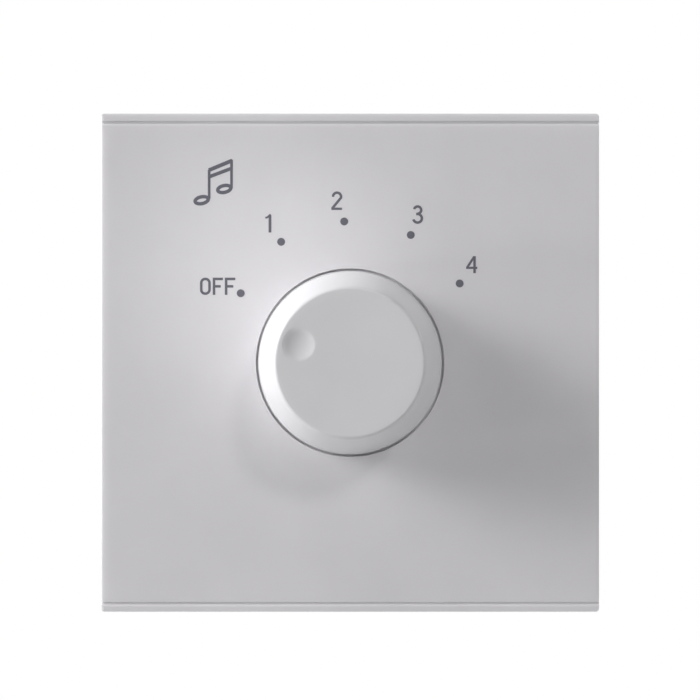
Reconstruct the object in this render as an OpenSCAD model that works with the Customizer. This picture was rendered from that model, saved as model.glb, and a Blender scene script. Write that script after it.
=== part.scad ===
// Wall-plate volume control for loudspeakers: a clipped cover over a mounting frame, a stepped
// rotary switch behind the knob and a line transformer in a closed rear housing.
// The wall plane is y = 0, the front faces -y and z points up. Sizes are in millimetres.

/* [Face plate] */
// Width of the face plate across the wall
plate_w = 86; // [82:0.5:92]
// Height of the face plate with both frame lips
plate_h = 86; // [82:0.5:92]
// How far the face stands out from the wall
plate_depth = 8.5; // [8:0.1:10]
// Thickness of the cover's face
cover_wall = 2; // [1.5:0.1:2.4]
// Thickness of the cover's side skirts and rims
skirt_wall = 1.6; // [1.2:0.1:2]
// Height of each frame lip above and below the cover
lip_h = 1.3; // [1.2:0.1:2]
// Shadow groove between lip and cover
groove = 0.35; // [0.3:0.05:0.8]
// Depth of the shadow groove
groove_depth = 0.3; // [0.3:0.05:0.8]
// Rounding of the left and right front edges
side_edge_r = 0.3; // [0.2:0.1:1]
// Rounding of the front edges along lips and cover
lip_edge_r = 0.25; // [0.2:0.05:0.3]
// Rounding of the plate's four corners seen from the front
corner_r = 0.6; // [0.4:0.1:1]

/* [Mounting frame] */
// Thickness of the frame's plate
frame_t = 3; // [2.8:0.1:3.6]
// Depth of the seat for the rear housing in the frame's back
seat_depth = 1; // [0.8:0.1:1.2]
// Distance between the two wall screws
screw_spacing = 60.3; // [60:0.1:64]
// Width of a wall screw slot
slot_w = 4.6; // [4.3:0.1:5]
// Length of a wall screw slot
slot_len = 9; // [7:0.5:9.5]
// Width of a snap hook on the cover
hook_w = 8; // [6:0.5:10]
// Distance from the plate's middle to a snap hook
hook_x = 22; // [18:0.5:26]

/* [Knob] */
// Knob diameter at the cover
knob_base_d = 31.6; // [28:0.2:34]
// Knob diameter at the top edge, before rounding
knob_top_d = 26; // [23:0.2:27]
// How far the knob stands out from the cover's face
knob_rise = 12; // [11:0.5:15]
// How far the knob reaches into the cover's dish
knob_sink = 0.5; // [0.4:0.1:1.1]
// Radial gap between knob and cover
knob_gap = 0.45; // [0.4:0.05:0.8]
// Rounding of the knob's top edge
knob_edge_r = 0.7; // [0.5:0.1:1.5]
// Wall of the knob
knob_wall = 1.8; // [1.4:0.1:2.4]
// Outer diameter of the knob's hub
hub_d = 11; // [10.5:0.5:13]
// Number of ribs between hub and wall
knob_ribs = 6; // [3:1:8]
// Distance of the finger dimple from the knob's axis
dimple_offset = 8.95; // [7:0.05:9.2]
// Radius of the dimple's hollow
dimple_r = 12; // [9:0.5:14]
// Depth of the dimple
dimple_depth = 0.36; // [0.3:0.02:0.5]
// Direction of the dimple at OFF, in degrees left of straight up
off_angle = 70.4; // [55:0.1:75]

/* [Switch] */
// Shaft diameter
shaft_d = 6; // [5:0.1:6.3]
// Diameter of the bush
bush_d = 9.5; // [9:0.1:10]
// Outer diameter of the switch body
switch_d = 28; // [27.6:0.2:32]
// Radius of the crests between the detent notches
crest_r = 11; // [10.8:0.1:11.3]
// Diameter of a detent ball
ball_d = 3.2; // [2.8:0.1:3.6]
// Number of detent notches in a full turn
notch_count = 12; // [8:2:12]
// Number of switch positions, with OFF
positions = 5; // [3:1:6]
// Width across the flats of the bush nut
nut_af = 12; // [11.5:0.5:14]
// Thickness of the bush nut
nut_t = 2.4; // [2:0.1:2.6]
// Thickness of the contact wafer
wafer_t = 1.6; // [1.2:0.1:2]

/* [Rear housing and board] */
// Outer width of the rear housing
housing_w = 48; // [46:0.5:50]
// Outer height of the rear housing
housing_h = 54; // [52:0.5:58]
// Wall of the rear housing
housing_wall = 1.8; // [1.5:0.1:2.2]
// Thickness of the circuit board
board_t = 1.6; // [1.2:0.1:2]
// Diameter of the posts that take the housing screws
post_d = 5.6; // [5.2:0.1:6]
// Length of the posts
post_len = 12; // [11:0.5:13]
// Number of vent slots in the housing's back
vent_count = 6; // [4:1:8]

/* [Transformer] */
// Width of the laminated core
core_w = 30; // [28:0.5:32]
// Length of the laminated core
core_l = 25; // [23:0.5:26]
// Thickness of the lamination stack
core_stack = 9; // [8:0.5:10]
// Width of the core's middle leg
leg_w = 8; // [7:0.5:9]
// Width of the core's side legs and yokes
yoke_w = 4.5; // [4:0.25:5]
// Thickness of the winding on the bobbin
winding_t = 1.4; // [1:0.1:1.6]

/* [Terminals] */
// Number of wire terminals
poles = 4; // [2:1:5]
// Distance between neighbouring terminals
pole_pitch = 5.08; // [5:0.02:5.5]
// Depth of the terminal block from the wire side
block_d = 10.5; // [10:0.25:12]

/* [Hidden] */
$fn = 96;

// Colours of the materials
white_plastic = [0.86, 0.86, 0.87];
grey_plastic = [0.62, 0.63, 0.65];
black_plastic = [0.12, 0.12, 0.13];
steel = [0.72, 0.73, 0.75];
brass = [0.80, 0.66, 0.33];
bronze = [0.78, 0.55, 0.32];
copper = [0.72, 0.38, 0.20];
board_green = [0.10, 0.36, 0.20];

// Clearances shared by the pieces
cut = 0.5;          // how far a cutting shape runs past the face it opens
fit_gap = 0.3;      // between moulded pieces that drop into each other
close_gap = 0.1;    // between small parts that are pushed together
run_gap = 0.05;     // radial clearance of the shaft in its bearings
turn_gap = 0.3;     // between the turning and the fixed parts of the switch

// Levels measured from the wall plane, positive towards the front
face_z = plate_depth;
cover_inner_z = face_z - cover_wall;
web_z = seat_depth;

// Cover and the frame's lips beside it
cover_h = plate_h - 2 * (lip_h + groove);
groove_z = face_z - groove_depth;
lip_back_h = lip_h + groove - close_gap;
skirt_z = 0.3;
cover_corner_r = 0.3;
cover_cavity_w = plate_w - 2 * skirt_wall;
cover_cavity_h = cover_h - 2 * skirt_wall;
hole_r = knob_base_d / 2 + knob_gap;
hole_edge_r = 0.15;
dish_rim = 1.4;
dish_t = 1.4;
dish_z = face_z - knob_sink - turn_gap;
dish_back_z = dish_z - dish_t;
nut_r = nut_af / 2 / cos(30);
dish_hole_gap = 2;
dish_hole_r = nut_r + dish_hole_gap;
cover_rib_t = 1.2;
cover_rib_h = 1.2;
cover_rib_len = 12;

// Snap hooks and the catches that hold them
hook_t = 1.1;
hook_barb = 0.7;
hook_barb_h = 0.9;
hook_end_z = 0.5;
hook_outer_y = cover_h / 2 - skirt_wall + hook_t;
hook_inner_y = cover_h / 2 - skirt_wall;
catch_z = hook_end_z + hook_barb_h + fit_gap;

// Frame
frame_plate_w = plate_w - 2 * (skirt_wall + fit_gap);
frame_rib_t = 1.4;
frame_rib_h = 1.2;
seat_w = housing_w + 2 * fit_gap;
seat_h = housing_h + 2 * fit_gap;
seat_corner_r = 2.3;
pocket_depth = 1.2;
pocket_cols = 4;
pocket_rib = 2;
pocket_corner_r = 1;
pocket_y0 = seat_h / 2 + pocket_rib;
pocket_y1 = hook_inner_y - hook_barb - fit_gap - pocket_rib;
pocket_w = (frame_plate_w - 2 * pocket_rib) / pocket_cols - pocket_rib;
screw_pad_rim = 2.5;
screw_pad_corner_r = 2;
screw_pad_len = slot_len + 2 * screw_pad_rim;
screw_pad_w = slot_w + 2 * screw_pad_rim;
screw_pad_h = 0.8;

// Knob
knob_z = face_z - knob_sink;
knob_top_z = face_z + knob_rise;
knob_top_t = 2.2;
knob_ceiling_z = knob_top_z - knob_top_t;
knob_land = 0.3;
knob_ledge = 0.15;
knob_cone_z = face_z + knob_land;
knob_base_r = knob_base_d / 2;
knob_top_r = knob_top_d / 2;
knob_cone_r = knob_base_r - knob_ledge;
knob_lean = atan((knob_cone_r - knob_top_r) / (knob_top_z - knob_cone_z));
knob_edge_run = knob_edge_r / tan((90 + knob_lean) / 2);
knob_rib_t = 1.2;
knob_rib_lift = 4;
knob_rib_z = face_z + knob_rib_lift;
dimple_lip_r = 4;
dimple_angle = 90 + off_angle;

// Bush, nut and washers
shaft_r = shaft_d / 2;
bush_r = bush_d / 2;
lock_t = 0.6;
lock_r = 7.6;
lock_teeth = 10;
lock_tooth_r = 0.8;
nut_z = frame_t + lock_t;
bush_lead = 2;
bush_top_z = nut_z + nut_t + bush_lead;
nut_chamfer = 0.5;

// Switch body from the frame's web backwards
switch_r = switch_d / 2;
switch_front_t = 2.4;
stop_t = 0.6;
stop_r = 10;
tab_in_r = 8.6;
tab_out_r = 9.8;
tab_w = 1.4;
cavity_z = web_z - switch_front_t;
flange_t = 1.2;
flange_r = 7;
flange_z = cavity_z - flange_t;
rotor_z = flange_z - turn_gap;
ball_cover = 0.9;
rotor_t = ball_d + 2 * ball_cover;
rotor_back_z = rotor_z - rotor_t;
rotor_gap = 0.6;
rotor_r = crest_r - rotor_gap;
ball_z = rotor_z - rotor_t / 2;
ball_r = ball_d / 2;
ball_crest_gap = 0.15;
ball_at = crest_r - ball_crest_gap - ball_r;
notch_depth = 0.6;
notch_play = 0.3;
notch_r = ball_r + notch_play;
step_angle = 360 / notch_count;
travel = step_angle * (positions - 1);
wiper_t = 0.3;
wiper_back_z = rotor_back_z - wiper_t;
wiper_dome = 0.8;
contact_z = wiper_back_z - wiper_dome - turn_gap;
contact_head_t = 0.4;
wafer_z = contact_z - contact_head_t;
wafer_back_z = wafer_z - wafer_t;
wafer_shoulder = 0.8;
wafer_r = crest_r + notch_depth + wafer_shoulder;
spigot_d = 3;
spigot_h = 1.5;
spigot_at = (stop_r + switch_r) / 2;
lug_angle = 240;
lug_w = 2.9;
lug_in_r = 8.4;
lug_out_r = 10;
stop_angle = 15;
foot_gap_w = 9;

// Shaft
square_share = 0.7;
square_w = shaft_d * square_share;
journal_r = 2;
journal_end = 0.6;
shaft_end_z = wafer_back_z - journal_end;
clip_t = 0.6;
clip_rim = 1.6;
clip_r = shaft_r + clip_rim;
clip_z = bush_top_z + turn_gap;
clip_groove = 0.5;
groove_r = shaft_r - clip_groove;
clip_mouth = 1.7 * groove_r;
hub_gap = 0.5;
hub_z = clip_z + clip_t + hub_gap;
tip_gap = 0.8;
shaft_tip_z = knob_ceiling_z - tip_gap;
flat_depth = 1.5;
shaft_flat = shaft_r - flat_depth;
flat_z = hub_z - fit_gap;

// Knob spring in a pocket beside the shaft's flat
spring_t = 0.3;
spring_w = 3.2;
spring_end_gap = 0.8;
spring_len = shaft_tip_z - hub_z - 2 * spring_end_gap;
spring_room = 1;
spring_bow = spring_room - spring_t - 2 * run_gap;
spring_bow_r = (spring_len * spring_len / 4 + spring_bow * spring_bow) / (2 * spring_bow);
spring_mid_z = (shaft_tip_z + hub_z) / 2;

// Detent springs
coil_wire_r = 0.2;
coil_side_gap = 0.2;
coil_r = ball_r - coil_wire_r - coil_side_gap;
coil_turns = 4;
coil_sides = 6;
coil_rings = 8;
rotor_core_wall = 0.9;
rotor_core_r = square_w / sqrt(2) + rotor_core_wall;
coil_start = rotor_core_r + coil_wire_r + run_gap;
coil_end = ball_at - sqrt(ball_r * ball_r - coil_r * coil_r) - 2 * coil_wire_r;

// Contacts
contact_at = 9;
contact_head_r = 1;
contact_pin_r = 0.4;
common_in_r = 3.4;
common_out_r = 4.8;
first_contact = 150;
common_pin_angle = 270;
wiper_arm_w = 2.2;
wiper_dome_r = 0.7;

// Board
board_gap = 2;
board_z = wafer_back_z - board_gap;
board_back_z = board_z - board_t;
board_w = housing_w - 2 * (housing_wall + fit_gap);
board_h = housing_h - 2 * (housing_wall + fit_gap);
pin_out = 1;
pin_hole_gap = 0.1;

// Posts and housing screws
post_r = post_d / 2;
post_sink = 0.6;
post_x = housing_w / 2 - housing_wall - post_r + post_sink;
post_y = housing_h / 2 - housing_wall - post_r + post_sink;
screw_r = 1.2;
screw_head_r = 2.4;
screw_head_t = 1.6;
screw_len = 12;
screw_slot_w = 0.6;
screw_slot_d = 0.7;
screw_cross_l = 2.9;
pilot_gap = 0.02;
shank_gap = 0.25;

// Transformer
bobbin_wall = 0.8;
winding_gap = 0.3;
window_w = (core_w - leg_w - 2 * yoke_w) / 2;
window_l = core_l - 2 * yoke_w;
bobbin_w = leg_w + 2 * (close_gap + bobbin_wall);
bobbin_t = core_stack + 2 * (close_gap + bobbin_wall);
winding_side_t = winding_t + 1;
winding_w = bobbin_w + 2 * winding_side_t;
winding_h = bobbin_t + 2 * winding_t;
winding_corner_r = 1.4;
bobbin_flange_w = leg_w + 2 * (window_w - fit_gap);
bobbin_flange_rim = 0.4;
bobbin_flange_h = winding_h + 2 * bobbin_flange_rim;
bobbin_l = window_l - 2 * fit_gap;
core_gap = 0.05;
bobbin_standoff = 1.4;
transformer_z = board_back_z - bobbin_standoff - bobbin_flange_h / 2;
transformer_top_gap = 3.4;
transformer_y = housing_h / 2 - housing_wall - transformer_top_gap - core_l / 2;
foot_t = 3;
foot_z = bobbin_flange_h / 2 + bobbin_standoff;
foot_h = foot_z - core_stack / 2 - fit_gap;
bobbin_pin_count = 5;
bobbin_pin_pitch = 3.6;
bobbin_pin_w = 0.7;
bobbin_pin_r = bobbin_pin_w / sqrt(2);
strap_t = 0.6;
strap_w = 3.4;
strap_tab_w = 2;

// Rear housing
rear_gap = 0.8;
rear_room = bobbin_standoff + bobbin_flange_h + rear_gap;
housing_inner_z = board_back_z - rear_room;
housing_back_z = housing_inner_z - housing_wall;
housing_corner_r = 2;
housing_edge_r = 1.2;
ledge_w = 1.6;
ledge_len = 12;
vent_w = 1.6;
vent_len = 15;
vent_pitch = 4.2;
side_vent_count = 4;
side_vent_h = 9;

// Terminals
block_wall = 0.9;
block_w = poles * pole_pitch + 2 * block_wall;
block_inset = 0.2;
block_y0 = -housing_h / 2 + block_inset;
block_recess = 0.6;
block_back_z = housing_back_z + block_recess;
clamp_w = 3.4;
clamp_l = 5.6;
clamp_h = 4;
clamp_hole_w = 2.4;
clamp_hole_h = 2.2;
clamp_lift = 5.6;
clamp_z = board_back_z - clamp_lift;
entry_depth = 2;
clamp_y = block_y0 + entry_depth + clamp_l / 2;
entry_w = 3;
entry_h = 3.4;
well_r = 1.9;
lead_in = 0.5;
block_groove_w = 0.6;
block_groove_d = 0.4;
terminal_head_r = 1.75;
terminal_head_t = 1.6;
terminal_head_recess = 1;
terminal_head_z = block_back_z + terminal_head_recess + terminal_head_t;
terminal_shank_r = 1.1;
terminal_pin_w = 0.9;
terminal_pin_r = terminal_pin_w / sqrt(2);

// Turns the front-facing working frame upright: x stays, y becomes up, z points out of the wall
module upright() {
    rotate([90, 0, 0]) children();
}

// Box centred on the axis between two levels
module slab(w, h, z0, z1) {
    translate([-w / 2, -h / 2, z0]) cube([w, h, z1 - z0]);
}

// Round disc between two levels
module disc(r, z0, z1) {
    translate([0, 0, z0]) cylinder(r = r, h = z1 - z0);
}

// Flat ring between two levels
module ring(r_out, r_in, z0, z1) {
    difference() {
        disc(r_out, z0, z1);
        disc(r_in, z0 - cut, z1 + cut);
    }
}

// Places children at the four mirrored positions
module corners(x, y) {
    for (sx = [-1, 1], sy = [-1, 1]) translate([sx * x, sy * y, 0]) children();
}

// Rectangle with round corners
module rounded_rect(w, h, r) {
    square([w - 2 * r, h], center = true);
    square([w, h - 2 * r], center = true);
    for (sx = [-1, 1], sy = [-1, 1]) translate([sx * (w / 2 - r), sy * (h / 2 - r)]) circle(r);
}

// Cross-section that is square at the back and rounded at its two front corners
module front_rounded(w, d, r) {
    translate([-w / 2, 0]) square([w, d - r]);
    translate([r - w / 2, 0]) square([w - 2 * r, d]);
    for (s = [-1, 1]) translate([s * (w / 2 - r), d - r]) circle(r);
}

// Block with round corners between two levels
module rounded_slab(w, h, r, z0, z1) {
    translate([0, 0, z0]) linear_extrude(z1 - z0) rounded_rect(w, h, r);
}

// Rounds the left and right front edges of what it is intersected with
module side_rounding(w, h, z0, z1, r = side_edge_r) {
    translate([0, h / 2 + cut, z0]) rotate([90, 0, 0])
        linear_extrude(h + 2 * cut) front_rounded(w, z1 - z0, r);
}

// Rounds the upper and lower front edges of what it is intersected with
module lip_rounding(w, h, z0, z1, r = lip_edge_r) {
    translate([-w / 2 - cut, 0, z0]) rotate([90, 0, 90])
        linear_extrude(w + 2 * cut) front_rounded(h, z1 - z0, r);
}

// Shaft section with one flat, the flat facing along +y
module d_section(r, flat, z0, z1) {
    intersection() {
        disc(r, z0, z1);
        translate([-r - cut, -r - cut, z0 - cut])
            cube([2 * (r + cut), r + cut + flat, z1 - z0 + 2 * cut]);
    }
}

// Snap hook with its barb turned to the plate's middle, on the upper rim
module snap_hook() {
    translate([-hook_w / 2, hook_inner_y, hook_end_z])
        cube([hook_w, hook_t, frame_t + cut - hook_end_z]);
    translate([-hook_w / 2, hook_inner_y - hook_barb, hook_end_z])
        cube([hook_w, hook_barb + hook_t, hook_barb_h]);
}

// Opening in the frame for a hook, with a ledge that the barb sits behind
module hook_opening() {
    w = hook_w + 2 * fit_gap;
    y1 = hook_outer_y + fit_gap;
    y_front = hook_inner_y - fit_gap;
    y_back = hook_inner_y - hook_barb - fit_gap;
    translate([-w / 2, y_front, 0]) cube([w, y1 - y_front, frame_t + cut]);
    translate([-w / 2, y_back, -cut]) cube([w, y1 - y_back, catch_z + cut]);
}

// The four hook positions
module at_hooks() {
    for (sx = [-1, 1], m = [0, 1]) mirror([0, m, 0]) translate([sx * hook_x, 0, 0]) children();
}

// Cutter for the dish that the knob sits in, with a small round at the face and a hole for the bush
module knob_dish() {
    rotate_extrude() difference() {
        union() {
            translate([0, dish_z]) square([hole_r, face_z - dish_z + cut]);
            translate([0, dish_back_z - cut]) square([dish_hole_r, dish_t + 2 * cut]);
            translate([0, face_z - hole_edge_r]) square([hole_r + hole_edge_r, hole_edge_r + cut]);
        }
        translate([hole_r + hole_edge_r, face_z - hole_edge_r]) circle(hole_edge_r);
    }
}

// Clipped cover
module front_cover() {
    color(white_plastic) upright() {
        difference() {
            union() {
                difference() {
                    intersection() {
                        rounded_slab(plate_w, cover_h, cover_corner_r, skirt_z, face_z);
                        side_rounding(plate_w, cover_h, skirt_z, face_z);
                        lip_rounding(plate_w, cover_h, skirt_z, face_z);
                    }
                    slab(cover_cavity_w, cover_cavity_h, skirt_z - cut, cover_inner_z);
                    slab(cover_cavity_w, cover_h + 2 * cut, skirt_z - cut, frame_t);
                }
                disc(hole_r + dish_rim, dish_back_z, cover_inner_z + cut);
                for (a = [0, 90, 180, 270]) rotate(a)
                    translate([hole_r + dish_rim - cut, -cover_rib_t / 2, cover_inner_z - cover_rib_h])
                        cube([cover_rib_len, cover_rib_t, cover_rib_h + cut]);
                at_hooks() snap_hook();
            }
            knob_dish();
        }
    }
}

// Lip along the frame's upper edge, with the floor of the groove
module frame_lip() {
    intersection() {
        rounded_slab(plate_w, plate_h, corner_r, 0, face_z);
        side_rounding(plate_w, plate_h, 0, face_z);
        union() {
            translate([0, (plate_h - lip_h) / 2, 0]) lip_rounding(plate_w, lip_h, 0, face_z);
            translate([0, (plate_h - lip_back_h) / 2, 0]) slab(plate_w, lip_back_h, 0, groove_z);
        }
    }
}

// Wall screw slot at the right, cut through the frame
module wall_slot() {
    reach = (slot_len - slot_w) / 2;
    z1 = frame_t + screw_pad_h + cut;
    translate([screw_spacing / 2, 0, 0]) {
        for (s = [-1, 1]) translate([s * reach, 0, 0]) disc(slot_w / 2, -cut, z1);
        slab(2 * reach, slot_w, -cut, z1);
    }
}

// Row of shallow pockets along the upper edge of the frame's back
module back_pockets() {
    for (i = [0 : pocket_cols - 1])
        translate([(i - (pocket_cols - 1) / 2) * (pocket_w + pocket_rib), (pocket_y0 + pocket_y1) / 2, 0])
            rounded_slab(pocket_w, pocket_y1 - pocket_y0, pocket_corner_r, -cut, pocket_depth);
}

// Mounting frame
module mounting_frame() {
    color(white_plastic) upright() difference() {
        union() {
            slab(frame_plate_w, plate_h - lip_h, 0, frame_t);
            for (m = [0, 1]) mirror([0, m, 0]) {
                frame_lip();
                translate([0, pocket_y0, 0])
                    slab(frame_plate_w - 2 * frame_rib_t, frame_rib_t, frame_t - cut, frame_t + frame_rib_h);
            }
            for (s = [-1, 1]) translate([s * screw_spacing / 2, 0, 0])
                rounded_slab(screw_pad_len, screw_pad_w, screw_pad_corner_r,
                    frame_t - cut, frame_t + screw_pad_h);
        }
        rounded_slab(seat_w, seat_h, seat_corner_r, -cut, seat_depth);
        disc(bush_r + close_gap, -cut, frame_t + cut);
        translate([0, -spigot_at, 0]) disc(spigot_d / 2 + close_gap, -cut, frame_t + cut);
        corners(post_x, post_y) disc(screw_r + shank_gap, -cut, frame_t + cut);
        for (m = [0, 1]) mirror([m, 0, 0]) wall_slot();
        for (m = [0, 1]) mirror([0, m, 0]) back_pockets();
        at_hooks() hook_opening();
    }
}

// Half section of the knob's outside
module knob_section() {
    side = [sin(knob_lean), -cos(knob_lean)];
    edge_in = [knob_top_r - knob_edge_run, knob_top_z];
    edge_out = [knob_top_r, knob_top_z] + knob_edge_run * side;
    edge_mid = [edge_in[0], knob_top_z - knob_edge_r];
    polygon([
        [0, knob_z], [knob_base_r, knob_z], [knob_base_r, knob_cone_z],
        [knob_cone_r, knob_cone_z], edge_out, edge_mid, edge_in, [0, knob_top_z]
    ]);
    translate(edge_mid) intersection() {
        circle(knob_edge_r);
        translate([-edge_mid[0], -knob_edge_r]) square([knob_base_r, 2 * knob_edge_r]);
    }
}

// Cutter for the finger dimple: a hollow that runs out into the flat over a soft lip
module dimple() {
    mid = dimple_r - dimple_depth;
    lip_x = sqrt(pow(dimple_r + dimple_lip_r, 2) - pow(mid + dimple_lip_r, 2));
    share = dimple_r / (dimple_r + dimple_lip_r);
    meet = [share * lip_x, mid - share * (mid + dimple_lip_r)];
    rotate_extrude() {
        intersection() {
            translate([0, mid]) circle(dimple_r);
            translate([0, -dimple_depth - cut]) square([meet[0], dimple_depth + 2 * cut]);
        }
        difference() {
            translate(meet) square([lip_x - meet[0], cut - meet[1]]);
            translate([lip_x, -dimple_lip_r]) circle(dimple_lip_r);
        }
    }
}

// Inside of the knob under its top, wall thickness taken off
module knob_hollow() {
    rotate_extrude() polygon([
        [0, knob_z - cut], [knob_base_r - knob_wall, knob_z - cut],
        [knob_base_r - knob_wall, knob_cone_z],
        [knob_top_r - knob_wall, knob_ceiling_z], [0, knob_ceiling_z]
    ]);
}

// Knob
module knob() {
    color(white_plastic) upright() rotate(dimple_angle - 90) difference() {
        union() {
            difference() {
                rotate_extrude() knob_section();
                knob_hollow();
            }
            intersection() {
                rotate_extrude() knob_section();
                for (i = [0 : knob_ribs - 1]) rotate((i + 0.5) * 360 / knob_ribs)
                    translate([0, -knob_rib_t / 2, knob_rib_z])
                        cube([knob_base_r, knob_rib_t, knob_top_z - cut - knob_rib_z - knob_edge_r]);
            }
            disc(hub_d / 2, hub_z, knob_ceiling_z + cut);
        }
        d_section(shaft_r + run_gap, shaft_flat + run_gap, hub_z - cut, shaft_tip_z + fit_gap);
        translate([-spring_w / 2 - run_gap, 0, hub_z - cut])
            cube([spring_w + 2 * run_gap, shaft_flat + spring_room, shaft_tip_z + fit_gap - hub_z + cut]);
        translate([0, dimple_offset, knob_top_z]) dimple();
    }
}

// Leaf spring that presses on the shaft's flat
module knob_spring() {
    color(bronze) upright() rotate(dimple_angle - 90)
        translate([-spring_w / 2, shaft_flat + run_gap, spring_mid_z]) rotate([90, 0, 90])
            linear_extrude(spring_w) intersection() {
                difference() {
                    translate([spring_bow_r, 0]) circle(spring_bow_r);
                    translate([spring_bow_r + spring_t, 0]) circle(spring_bow_r);
                }
                translate([0, -spring_len / 2]) square([spring_bow + spring_t, spring_len]);
            }
}

// Shaft
module switch_shaft() {
    color(steel) upright() rotate(dimple_angle - 90) {
        difference() {
            disc(shaft_r, rotor_z, flat_z);
            ring(shaft_r + cut, groove_r, clip_z - run_gap, clip_z + clip_t + run_gap);
        }
        d_section(shaft_r, shaft_flat, flat_z, shaft_tip_z);
        slab(square_w, square_w, wiper_back_z, rotor_z);
        disc(journal_r, shaft_end_z, wiper_back_z);
    }
}

// Clip in the shaft's groove
module shaft_clip() {
    color(steel) upright() rotate(dimple_angle) difference() {
        ring(clip_r, groove_r + run_gap, clip_z, clip_z + clip_t);
        translate([0, -clip_mouth / 2, clip_z - cut]) cube([clip_r + cut, clip_mouth, clip_t + 2 * cut]);
    }
}

// Flanged bush
module switch_bush() {
    color(brass) upright() difference() {
        union() {
            disc(bush_r, flange_z, bush_top_z);
            disc(flange_r, flange_z, cavity_z);
        }
        disc(shaft_r + run_gap, flange_z - cut, bush_top_z + cut);
    }
}

// Hexagon nut on the bush
module bush_nut() {
    color(steel) upright() difference() {
        intersection() {
            translate([0, 0, nut_z]) cylinder(r = nut_r, h = nut_t, $fn = 6);
            translate([0, 0, nut_z]) rotate_extrude() polygon([
                [0, 0], [nut_af / 2, 0], [nut_r, nut_chamfer],
                [nut_r, nut_t - nut_chamfer], [nut_af / 2, nut_t], [0, nut_t]
            ]);
        }
        disc(bush_r + run_gap, nut_z - cut, nut_z + nut_t + cut);
    }
}

// Toothed washer under the nut
module lock_washer() {
    color(steel) upright() difference() {
        ring(lock_r, bush_r + close_gap, frame_t, nut_z);
        for (i = [0 : lock_teeth - 1]) rotate(i * 360 / lock_teeth)
            translate([bush_r + close_gap, 0, 0]) disc(lock_tooth_r, frame_t - cut, nut_z + cut);
    }
}

// Places children at the stop tab
module at_tab() {
    rotate(lug_angle - travel - stop_angle) children();
}

// Stop ring with the tab that ends the travel
module stop_washer() {
    color(steel) upright() {
        ring(stop_r, bush_r + close_gap, web_z - stop_t, web_z);
        at_tab() translate([tab_in_r, -tab_w / 2, flange_z])
            cube([tab_out_r - tab_in_r, tab_w, web_z - flange_z - stop_t / 2]);
    }
}

// Inside of the detent ring: crests with a notch at each position
module detent_cavity() {
    disc(crest_r, wafer_z, cavity_z);
    for (i = [0 : notch_count - 1]) rotate(i * 360 / notch_count)
        translate([crest_r + notch_depth - notch_r, 0, 0]) disc(notch_r, wafer_z, cavity_z);
}

// Moulded cup of the switch
module switch_body() {
    color(black_plastic) upright() {
        difference() {
            disc(switch_r, board_z, web_z);
            detent_cavity();
            disc(wafer_r + close_gap, board_z - cut, wafer_z);
            disc(bush_r + close_gap, cavity_z - cut, web_z + cut);
            disc(stop_r + close_gap, web_z - stop_t, web_z + cut);
            for (i = [0 : 360 / step_angle - 1])
                rotate(lug_angle - stop_angle + i * step_angle)
                    translate([tab_in_r - close_gap, -tab_w / 2 - close_gap, cavity_z - cut])
                        cube([
                            tab_out_r - tab_in_r + 2 * close_gap, tab_w + 2 * close_gap, switch_front_t + cut
                        ]);
            for (a = [45, 135]) rotate(a)
                slab(foot_gap_w, 2 * switch_r + cut, board_z - cut, wafer_back_z - close_gap);
        }
        rotate(lug_angle + stop_angle) translate([tab_in_r, -tab_w / 2, flange_z])
            cube([crest_r + notch_depth - tab_in_r, tab_w, flange_t + cut]);
        translate([0, -spigot_at, 0]) disc(spigot_d / 2, web_z - cut, web_z + spigot_h);
    }
}

// Carrier that turns with the shaft
module detent_rotor() {
    color(grey_plastic) upright() difference() {
        union() {
            disc(rotor_r, rotor_back_z, rotor_z);
            rotate(lug_angle) translate([lug_in_r, -lug_w / 2, rotor_z - cut])
                cube([lug_out_r - lug_in_r, lug_w, cut + flange_t]);
        }
        rotate(dimple_angle - 90)
            slab(square_w + close_gap, square_w + close_gap, rotor_back_z - cut, rotor_z + cut);
        for (s = [0, 180]) rotate(s) translate([rotor_core_r, 0, ball_z]) rotate([0, 90, 0])
            cylinder(r = ball_r + close_gap, h = rotor_r);
    }
}

// Two balls that click into the notches
module detent_balls() {
    color(steel) upright() for (s = [-1, 1]) translate([s * ball_at, 0, ball_z]) sphere(ball_r);
}

// Ring of points round the coil's wire at a place along the helix, the axis along x
function coil_ring(k, n) = [
    for (j = [0 : coil_sides - 1])
        let (a = k * 360 / coil_rings, b = j * 360 / coil_sides, r = coil_r + coil_wire_r * cos(b))
        [coil_start + (coil_end - coil_start) * k / n + coil_wire_r * sin(b), r * cos(a), r * sin(a)]
];

// One compression spring as a single swept tube along x
module coil_spring() {
    n = coil_turns * coil_rings;
    points = [for (k = [0 : n]) each coil_ring(k, n)];
    sides = [
        for (k = [0 : n - 1], j = [0 : coil_sides - 1])
            let (a = k * coil_sides + j, b = k * coil_sides + (j + 1) % coil_sides)
            each [[a, a + coil_sides, b + coil_sides], [a, b + coil_sides, b]]
    ];
    first = [for (j = [1 : coil_sides - 2]) [0, j, j + 1]];
    base = n * coil_sides;
    last = [for (j = [1 : coil_sides - 2]) [base, base + j + 1, base + j]];
    polyhedron(points, concat(sides, first, last));
}

// Springs behind the balls
module detent_springs() {
    color(steel) upright() for (s = [0, 180]) rotate(s) translate([0, 0, ball_z]) coil_spring();
}

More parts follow.
